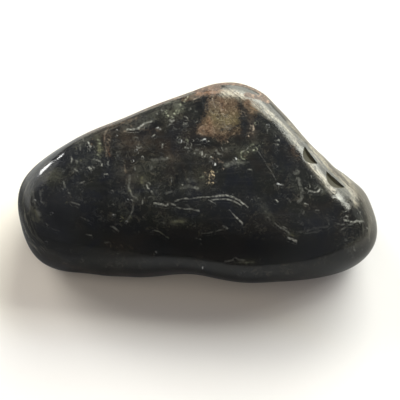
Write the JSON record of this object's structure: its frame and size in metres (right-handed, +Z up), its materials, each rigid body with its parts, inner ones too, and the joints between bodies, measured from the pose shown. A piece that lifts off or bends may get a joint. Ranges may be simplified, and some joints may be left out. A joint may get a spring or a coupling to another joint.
{
  "type": "tumbled black tourmaline stone",
  "caption": "Loose tumbled black tourmaline: a low, rounded triangular stone with a polished face, worn edges, a waisted front and a small flat to rest on.",
  "frame": {"origin": "on the resting plane, under the middle of the stone's box", "axes": "+X along the stone's length towards its narrower nose, +Y towards the apex where its two back sides meet, +Z up out of the polished top face"},
  "size_m": [0.0578, 0.0324, 0.0196],
  "materials": {
    "polished_schorl": "tumble-polished black stone with brown iron staining, pale veils and fine scratches"
  },
  "bodies": {
    "root": {"tourmaline_stone": "polished_schorl"}
  },
  "joints": []
}
